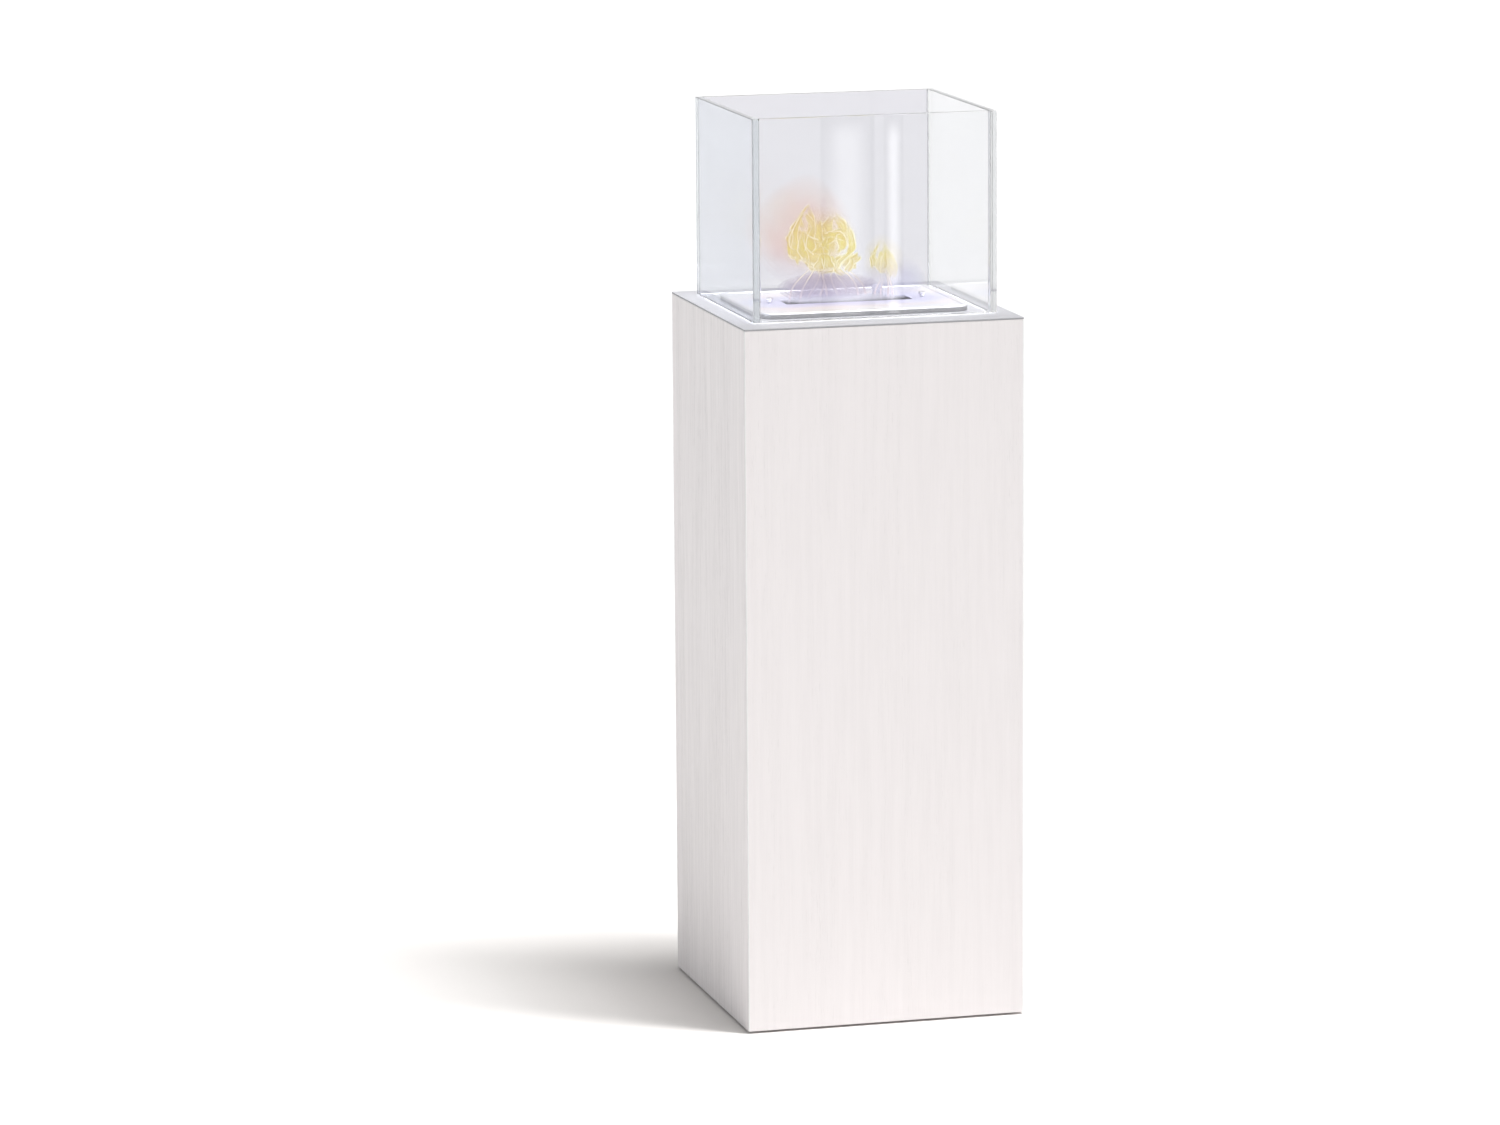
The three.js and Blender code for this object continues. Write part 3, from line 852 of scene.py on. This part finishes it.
class FIREPLACE_OT_burner_parts(bpy.types.Operator):
    """Knobs, damper, perforated sheet, fibre, and the finish of the tank and rails"""

    bl_idname = "fireplace.burner_parts"
    bl_label = "Burner parts"

    def execute(self, context):
        settings = context.scene.fireplace.burner
        steel = steel_material(settings)
        turned_steel = steel_material(settings, "Turned stainless", 0.22, (90, 90, 900))
        # Painted shade: the tank, rails and spacers take a darker copy of the stainless steel, so that they
        # don't read white.
        shaded_tank_steel = steel_material(
            settings, "Stainless darkened as painted shade", 0.36, (60, 60, 420), (0.62, 0.62, 0.64))
        repaint(shaded_tank_steel, "burner_tank", "slide_rail_left", "slide_rail_right",
                *at_corners("plate_spacer_"))
        for side in ENDS:
            finished(self.knob(side), "burner", turned_steel, "stainless", "lift_knob_" + side)
        finished(self.damper(), "damper", steel, "stainless", "damper_slide")
        finished(self.perforated(settings.mesh_pitch), "burner", steel, "stainless", "burner_mesh")
        fibre = finished(self.fibre(), "burner", fibre_material(), "fibre", "fibre_pad", smooth=60)
        return {"FINISHED"}

    @staticmethod
    def knob(side):
        """A low turned knob with a waist, a groove and a dished top."""
        lowest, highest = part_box("lift_knob_" + side)
        foot = centre_of("lift_knob_" + side)
        foot.z = lowest.z
        up = Vector((0, 0, 1))
        waist = (highest.x - lowest.x) / 2 - 1.4 * MM
        knob = add_disc("knob_" + side, waist, foot, foot + 1.0 * MM * up, 40)
        profile = ((2.1, 4.3), (2.5, 4.5), (3.2, 4.5), (3.3, 4.3), (3.6, 4.3), (3.7, 4.5),
                   (4.5, 4.5), (5.0, 4.2), (5.2, 3.6), (5.0, 2.9), (4.9, 0.6))
        rings = [(1.4 * MM, waist)] + [(height * MM, radius * MM) for height, radius in profile]
        draw_out(knob, foot, 1, 1.0 * MM, waist, rings)
        cut(knob, add_disc("bore", 2.2 * MM, foot - MM * up, foot + 3.8 * MM * up))
        return knob

    @staticmethod
    def damper():
        """The blade, with its tab turned up and rounded off."""
        lowest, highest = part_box("damper_slide")
        steel = 1.5 * MM
        tab_x, tab_half = 45 * MM, 7 * MM
        blade_top = (highest.x, highest.y, lowest.z + steel)
        damper = add_rounded_block("damper_blade", lowest, blade_top, 2 * MM, 4)
        tab = add_block("tab", (tab_x - tab_half, lowest.y, lowest.z + 0.4 * MM),
                        (tab_x + tab_half, lowest.y + steel, highest.z))
        with editing(tab):
            pick(tab, "EDGE", lambda edge: runs_along(edge, 1) and middle(edge).z > highest.z - MM)
            bpy.ops.mesh.bevel(offset=4 * MM, segments=8, affect="EDGES")
        cut(damper, tab, "UNION")
        soften(damper, 0.3 * MM, 2, 40)
        return damper

    @staticmethod
    def perforated(pitch):
        """A square cell with a round hole, repeated into a sheet and given a plain rim."""
        lowest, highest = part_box("burner_mesh")
        margin, close = 3 * MM, 0.1 * MM
        columns = int((highest.x - lowest.x - 2 * margin) / pitch)
        rows = int((highest.y - lowest.y - 2 * margin) / pitch)
        half_x, half_y = columns * pitch / 2, rows * pitch / 2
        start = Vector((pitch / 2 - half_x, pitch / 2 - half_y, lowest.z))
        bpy.ops.mesh.primitive_plane_add(size=pitch, location=start)
        sheet = named("perforated_sheet")
        with editing(sheet):
            bpy.ops.mesh.select_all(action="SELECT")
            bpy.ops.mesh.subdivide(number_cuts=1)
            pick(sheet, "VERT", lambda vert: (vert.co - start).length < close)
            bpy.ops.mesh.bevel(offset=pitch * 0.3, segments=3, affect="VERTICES")
            pick(sheet, "FACE", lambda face: (face.calc_center_median() - start).length < close)
            bpy.ops.mesh.delete(type="FACE")
        for count, step in ((columns, (pitch, 0, 0)), (rows, (0, pitch, 0))):
            apply_modifier(
                sheet, "ARRAY", count=count, use_relative_offset=False, use_constant_offset=True,
                constant_offset_displace=step, use_merge_vertices=True, merge_threshold=close / 2)
        with editing(sheet):
            pick(sheet, "EDGE", lambda edge: edge.is_boundary and (
                half_x - abs(middle(edge).x) < close or half_y - abs(middle(edge).y) < close))
            bpy.ops.mesh.extrude_region_move()
            bpy.ops.transform.resize(
                value=(highest.x / half_x, highest.y / half_y, 1), center_override=(0, 0, lowest.z))
            bpy.ops.mesh.select_all(action="SELECT")
            bpy.ops.mesh.normals_make_consistent(inside=False)
        apply_modifier(sheet, "SOLIDIFY", thickness=highest.z - lowest.z, offset=1.0)
        rise = lowest.z - min(vert.co.z for vert in sheet.data.vertices)
        sheet.data.transform(Matrix.Translation((0, 0, rise)))
        return sheet

    @staticmethod
    def fibre():
        """A soft felted block, fuller in the middle, with a hairy surface."""
        lowest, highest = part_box("fibre_pad")
        block = add_rounded_block("fibre_block", lowest, highest, 6 * MM, 4)
        soften(block, 3 * MM, 3, 60)
        apply_modifier(block, "REMESH", mode="VOXEL", voxel_size=2.2 * MM)
        centre, half = centre_of("fibre_pad"), (highest - lowest) / 2
        outer = 0.9  # the share of the half size beyond which the surface is worked
        for vert in block.data.vertices:
            away = vert.co - centre
            lump = noise.noise(vert.co * 60) * 1.2 + noise.noise(vert.co * 240) * 0.5
            inward = max(0.0, 0.9 + 0.7 * lump) * MM
            for axis in range(3):
                if abs(away[axis]) / half[axis] > outer:
                    away[axis] -= math.copysign(inward, away[axis])
            vert.co = centre + away
        return block


class FIREPLACE_OT_glass(bpy.types.Operator):
    """Four panes with polished edges, their clear corner bonds and the pads they stand on"""

    bl_idname = "fireplace.glass"
    bl_label = "Glass surround"

    def execute(self, context):
        settings = context.scene.fireplace.glass
        clear = self.glass_material("Clear glass", settings.tint)
        # painted shade: the left and back panes get darker copies of the clear glass
        tinted = {
            "left": self.glass_material("Clear glass with painted blue shade", settings.left_painted_shade),
            "back": self.glass_material("Clear glass with painted grey shade", settings.back_painted_shade),
        }
        for side in SIDES:
            pane = add_block("pane_" + side, *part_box("glass_" + side))
            soften(pane, settings.arris, 2)
            glass = tinted.get(side, clear)
            finished(pane, "glass_surround", glass, "glass", "glass_" + side, smooth=0)
        resin = clear_material("Clear resin", (0.97, 0.97, 0.97), 0.05, 1.0, (0.6, 0.6, 0.6))
        repaint(resin, *at_corners("corner_bond_"))
        for corner in CORNERS:
            node = "glass_pad_" + corner
            pad = add_rounded_block("pad_" + corner, *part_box(node), 3.4 * MM, 8)
            soften(pad, 0.25 * MM, 2)
            finished(pad, "glass_surround", resin, "silicone", node)
        return {"FINISHED"}

    @staticmethod
    def glass_material(name, tint):
        return clear_material(name, tint, 0.0, 1.3, (0.24, 0.26, 0.28))


class FIREPLACE_OT_flames(bpy.types.Operator):
    """Two flames over the slot: curled petals on thin stalks, in a soft red and blue glow"""

    bl_idname = "fireplace.flames"
    bl_label = "Flames"

    def execute(self, context):
        settings = context.scene.fireplace.flame
        petal_fire = petal_material("Fire petals", settings)
        stalk_fire = flame_material("Fire stalks", (
            (0.0, (0.72, 0.68, 0.90)), (0.3, (0.90, 0.78, 0.86)), (1.0, (0.96, 0.86, 0.66))), 0, 45, 0.8)
        for name, extra_seed, rosettes in (
            ("petals_large", 5, (
                ((-50, 0, 80), (27, 22, 35), 13),
                ((-14, 0, 78), (26, 19, 25), 11),
                ((-48, 0, 105), (13, 11, 17), 5),
                ((-28, 0, 54), (26, 18, 17), 8),
                ((2, 0, 48), (20, 14, 15), 7),
                ((-32, 0, 84), (19, 17, 25), 8),
            )),
            ("petals_small", 2, (((46, 0, 52), (16, 12, 22), 8), ((54, 0, 44), (13, 9, 17), 6))),
        ):
            random.seed(settings.seed + extra_seed)
            made = [petal for rosette in rosettes for petal in self.petals(name, *rosette)]
            self.light(self.joined(made, name), petal_fire)
        self.light(self.stalks("stalks_large", (-22, 0, 66), (62, 24, 30), 9), stalk_fire)
        self.light(self.stalks("stalks_small", (48, 0, 48), (18, 11, 20), 4), stalk_fire)
        red, blue = settings.halo_colour, settings.base_colour
        # name, centre, half size, shells, fire, its colours from foot to tip, foot, tip, opacity
        for name, centre, half, shells, *fire in (
            ("glow_red", (-54, 8, 92), (60, 36, 66), 9, "Red glow", (
                (0.0, blue), (0.2, (0.66, 0.50, 0.66)), (0.4, red), (0.8, (0.80, 0.42, 0.28)),
                (1.0, (0.82, 0.46, 0.32))), 0, 156, 0.027),
            ("glow_amber", (-34, 0, 80), (46, 28, 42), 7, "Amber glow", (
                (0.0, (0.84, 0.68, 0.70)), (0.4, (0.90, 0.80, 0.36)),
                (1.0, (0.88, 0.68, 0.38))), 10, 130, 0.042),
            ("glow_amber_small", (48, 0, 52), (25, 16, 31), 6, "Pale glow", (
                (0.0, (0.80, 0.70, 0.78)), (0.5, (0.88, 0.80, 0.56)),
                (1.0, (0.88, 0.78, 0.60))), 10, 90, 0.045),
            ("glow_slot", (0, 0, 7.5), (79, 18.5, 5.0), 4, "Slot glow", (
                (0.0, (0.76, 0.75, 0.88)), (1.0, (0.78, 0.77, 0.88))), 0, 30, 0.42),
            ("glow_blue_left", (-26, 0, 22), (60, 24, 20), 8, "Violet glow", (
                (0.0, (0.52, 0.49, 0.72)), (0.6, (0.46, 0.38, 0.48)),
                (1.0, (0.68, 0.56, 0.58))), 0, 60, 0.125),
            ("glow_blue_right", (62, 0, 30), (38, 24, 28), 8, "Blue glow", (
                (0.0, blue), (0.6, (0.58, 0.57, 0.78)), (1.0, (0.72, 0.68, 0.76))), 0, 60, 0.042),
        ):
            self.light(self.glow(name, centre, half, shells), flame_material(*fire))
        return {"FINISHED"}

    @staticmethod
    def light(piece, material):
        """Finishes a piece of fire: it casts no shadow, and goes with the burner."""
        activate(piece)
        bpy.ops.object.shade_smooth()
        piece.data.materials.clear()
        piece.data.materials.append(material)
        piece.visible_shadow = False
        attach(piece, "burner")
        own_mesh(piece)

    @staticmethod
    def joined(pieces, name):
        bpy.ops.object.select_all(action="DESELECT")
        for piece in pieces:
            piece.select_set(True)
        bpy.context.view_layer.objects.active = pieces[0]
        bpy.ops.object.join()
        piece = bpy.context.object
        piece.name = piece.data.name = name
        return piece

    @staticmethod
    def petals(name, centre, half, count):
        """Curled strips laid one over another round the middle of a flame. Sizes are in millimetres."""
        made = []
        centre, half = Vector(centre), Vector(half)
        golden_share, golden_angle = 0.618, 2.39996
        for number in range(count):
            bpy.ops.mesh.primitive_grid_add(x_subdivisions=26, y_subdivisions=8, size=2)
            petal = named(name)
            layer = 0.45 + 0.55 * ((number * golden_share) % 1)
            turn = number * golden_angle
            lift = random.uniform(-0.5, 0.6)
            flat = math.sqrt(1 - lift * lift)
            out = Vector((math.cos(turn) * flat, math.sin(turn) * flat, lift))
            along = (Vector((0, 0, 1)) - out * lift).normalized()
            slant = random.choice((0.3, -0.4, 1.3)) + random.uniform(-0.3, 0.3)
            along.rotate(Matrix.Rotation(slant, 3, out))
            across = out.cross(along)
            reach, width = random.uniform(0.8, 1.5), random.uniform(0.20, 0.48)
            bend = random.uniform(0.05, 0.35)
            hook = random.choice((-1, 1)) * random.uniform(0.5, 1.3)
            for vert in petal.data.vertices:
                s, t = vert.co.x, vert.co.y
                wide = width * (1 - s * s) ** 0.5 * (1 - 0.35 * s) + 0.012
                at = math.cos(s * reach) * out + math.sin(s * reach) * along
                aside = hook * s * abs(s) * 0.5 + t * wide
                at = math.cos(aside) * at + math.sin(aside) * across
                grow = layer * (1 + bend * s ** 3 + 0.16 * t * t)
                wave = noise.noise(at * 2.2 + Vector((number, 0, 0))) * 0.16
                at = at * (grow + wave)
                at.z += 0.20 * max(0.0, at.z) ** 3
                vert.co = on_top(centre + at * half)
            apply_modifier(petal, "SOLIDIFY", thickness=0.5 * MM, offset=0)
            made.append(petal)
        return made

    @staticmethod
    def stalks(name, centre, half, count):
        """Thin tapering threads of fire that rise from the slot and curl into the flame."""
        curve = bpy.data.curves.new(name, "CURVE")
        curve.dimensions = "3D"
        curve.bevel_depth = 1.5 * MM
        curve.bevel_resolution = 2
        curve.resolution_u = 4
        curve.use_fill_caps = True
        for number in range(count):
            spline = curve.splines.new("NURBS")
            steps = 12
            spline.points.add(steps - 1)
            share = (number + 0.5) / count * 2 - 1
            foot = Vector((centre[0] + share * half[0] * 0.9, random.uniform(-8, 8), 1.5))
            turn = random.choice((-1, 1)) * random.uniform(0.7, 1.5)
            top = centre[2] * random.uniform(0.62, 1.0)
            for step, point in enumerate(spline.points):
                t = step / (steps - 1)
                swing = math.sin(t * 3.0 * turn + share * 2) * half[0] * 0.17
                spot = Vector((
                    foot.x * (1 - t) + (centre[0] + share * half[0] * 0.55) * t + swing * t,
                    foot.y * (1 - t) + math.cos(t * 4 + number) * half[1] * 0.55 * t,
                    foot.z + (top - foot.z) * t ** 0.85))
                point.co = (*on_top(spot), 1)
                point.radius = max(0.15, 1.1 - t)
            spline.use_endpoint_u = True
            spline.order_u = 4
        piece = bpy.data.objects.new(name, curve)
        bpy.context.scene.collection.objects.link(piece)
        activate(piece)
        bpy.ops.object.convert(target="MESH")
        return bpy.context.object

    def glow(self, name, centre, half, shells):
        """Thin shells one inside another, so that the glow fades outwards."""
        made = []
        for number in range(shells):
            size = 1 - 0.6 * number / shells
            bpy.ops.mesh.primitive_ico_sphere_add(subdivisions=4, radius=1)
            shell = named(f"{name}_{number}")
            for vert in shell.data.vertices:
                way = vert.co.normalized()
                lump = 1 + 0.16 * noise.noise(way * 1.3 + Vector((centre[0], number * 0.15, 0)))
                spot = way * Vector(half) * size * lump + Vector(centre)
                spot.z = max(spot.z, 2.2 + 0.02 * number + 0.001 * way.x)
                vert.co = on_top(spot)
            made.append(shell)
        return self.joined(made, name)


class FIREPLACE_OT_stage(bpy.types.Operator):
    """Pale floor, soft light and the camera"""

    bl_idname = "fireplace.stage"
    bl_label = "Stage"

    def execute(self, context):
        settings = context.scene.fireplace.stage
        self.camera(context.scene, settings)
        self.floor()
        self.sky(context.scene, settings)
        self.lights(context.scene, settings)
        context.scene.view_settings.view_transform = "Standard"
        cycles = context.scene.cycles
        cycles.max_bounces = cycles.transmission_bounces = cycles.glossy_bounces = 24
        cycles.transparent_max_bounces = 96
        return {"FINISHED"}

    @staticmethod
    def camera(scene, settings):
        camera = bpy.data.objects.new("camera", bpy.data.cameras.new("camera"))
        scene.collection.objects.link(camera)
        camera.location = (-2.1219, -7.5033, 1.9538)
        camera.rotation_euler = (math.radians(79.757), math.radians(0.386), math.radians(-14.986))
        camera.data.lens = settings.lens
        camera.data.sensor_width = 36
        camera.data.clip_end = 200
        scene.camera = camera

    @staticmethod
    def floor():
        bpy.ops.mesh.primitive_plane_add(size=120, location=(0, 0, CAD_BOX[0].z))
        floor = named("floor")
        look = Finish("Pale floor", Roughness=0.8, Specular_IOR_Level=0.2)
        grit = look.effect("Fine texture", Scale=300.0, Amount=0.01)
        away = look.add("ShaderNodeVectorMath", {"operation": "LENGTH"}, Vector=look.place).outputs["Value"]
        near, far = (0.91, 0.888, 0.868, 1), (0.775, 0.775, 0.775, 1)
        look.set("Base Color", look.toned(look.mix(look.span(away, 1.2, 4.0), near, far), grit["Tone"]))
        floor.data.materials.append(look.material)
        floor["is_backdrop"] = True

    @staticmethod
    def sky(scene, settings):
        """Even light from all round. What shines or is clear sees it brighter than what is matt."""
        world = bpy.data.worlds.new("sky")
        world.use_nodes = True
        tree = Tree(world.node_tree)
        matt = tree.add("ShaderNodeLightPath").outputs["Is Diffuse Ray"]
        strength = tree.span(matt, 0, 1, settings.sky_gloss, settings.sky, smooth=False)
        background = world.node_tree.nodes["Background"]
        background.inputs["Color"].default_value = (1.0, 1.0, 1.0, 1)
        tree.feed(background.inputs["Strength"], strength)
        scene.world = world

    def lights(self, scene, settings):
        """An upright strip of soft light that leans over the object from the right, and a low fill."""
        steps = 4
        for step in range(steps):
            height = settings.key_low + (step + 0.5) / steps * (math.pi / 2 - settings.key_low)
            self.sun(scene, f"key_{step}", settings.key / steps, settings.key_side, height, math.radians(10))
        fill = self.sun(scene, "fill", settings.fill, math.pi, math.radians(7), math.radians(30))
        fill.color = (0.90, 0.96, 1.0)
        self.card("card_wide", (0.494, -2.0, 0.70), (0.084, 0.41), 3.0, 0.45)
        self.card("card_narrow", (0.566, -2.0, 0.70), (0.030, 0.40), 4.8, 0.48)

    @staticmethod
    def card(name, place, size, glow, softness):
        """An upright glowing card in front, seen only in reflections."""
        bpy.ops.mesh.primitive_plane_add(size=1, location=(0, 0, 0))
        card = named(name)
        upright = Matrix.Rotation(-math.pi / 2, 4, "X")
        card.data.transform(Matrix.Translation(place) @ upright @ Matrix.Diagonal((*size, 1, 1)))
        look = Finish("Glow of " + name, Base_Color=BLACK, Emission_Color=(1, 1, 1, 1))
        uv = look.add("ShaderNodeTexCoord").outputs["UV"]
        across, along, _ = look.add("ShaderNodeSeparateXYZ", Vector=uv).outputs
        fade = look.span(look.off(across, 0.5), 0.5 - softness, 0.5, 1.0, 0.0)
        ends = look.span(look.off(along, 0.5), 0.40, 0.5, 1.0, 0.0)
        look.set("Emission Strength", look.times(look.times(fade, ends), glow))
        card.data.materials.append(look.material)
        card.visible_camera = card.visible_diffuse = False
        card.visible_transmission = card.visible_shadow = False
        card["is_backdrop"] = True

    @staticmethod
    def sun(scene, name, strength, side, height, width):
        """side is the angle from +X round to the front, height the angle above the floor."""
        sun = bpy.data.lights.new(name, "SUN")
        sun.energy = strength
        sun.angle = width
        light = bpy.data.objects.new(name, sun)
        scene.collection.objects.link(light)
        towards = Vector((
            math.cos(height) * math.cos(side), -math.cos(height) * math.sin(side), math.sin(height)))
        light.rotation_euler = towards.to_track_quat("Z", "Y").to_euler()
        return sun


# --- add-on ---------------------------------------------------------------------------------


PIECES = (
    FIREPLACE_OT_boards,
    FIREPLACE_OT_top_sheet,
    FIREPLACE_OT_base,
    FIREPLACE_OT_plate,
    FIREPLACE_OT_burner_parts,
    FIREPLACE_OT_glass,
    FIREPLACE_OT_flames,
    FIREPLACE_OT_stage,
)


class FIREPLACE_PT_sidebar(bpy.types.Panel):
    """Settings of the fireplace, and a button for each group of pieces"""

    bl_idname = "FIREPLACE_PT_sidebar"
    bl_label = "Column fireplace"
    bl_space_type = "VIEW_3D"
    bl_region_type = "UI"
    bl_category = "Fireplace"

    def draw(self, context):
        settings = context.scene.fireplace
        for part in ("plinth", "burner", "glass", "flame", "stage"):
            box = self.layout.box()
            box.label(text=part.capitalize())
            group = getattr(settings, part)
            for name in group.bl_rna.properties.keys():
                if name not in ("rna_type", "name"):
                    box.prop(group, name)
        for operator in PIECES:
            self.layout.operator(operator.bl_idname)


CLASSES = (
    PlinthSettings,
    BurnerSettings,
    GlassSettings,
    FlameSettings,
    StageSettings,
    FireplaceSettings,
    *PIECES,
    FIREPLACE_PT_sidebar,
)


def register():
    for cls in CLASSES:
        bpy.utils.register_class(cls)
    bpy.types.Scene.fireplace = PointerProperty(type=FireplaceSettings)


def unregister():
    del bpy.types.Scene.fireplace
    for cls in reversed(CLASSES):
        bpy.utils.unregister_class(cls)


def main():
    register()
    make_wood_grain()
    make_brushed()
    make_speckle()
    make_swirl()
    for operator in PIECES:
        module, name = operator.bl_idname.split(".")
        getattr(getattr(bpy.ops, module), name)()
    boxes = {"cad": CAD_BOX, "visual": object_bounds()}
    {key: [list(corner) for corner in box] for key, box in boxes.items()}


if __name__ == "__main__":
    main()
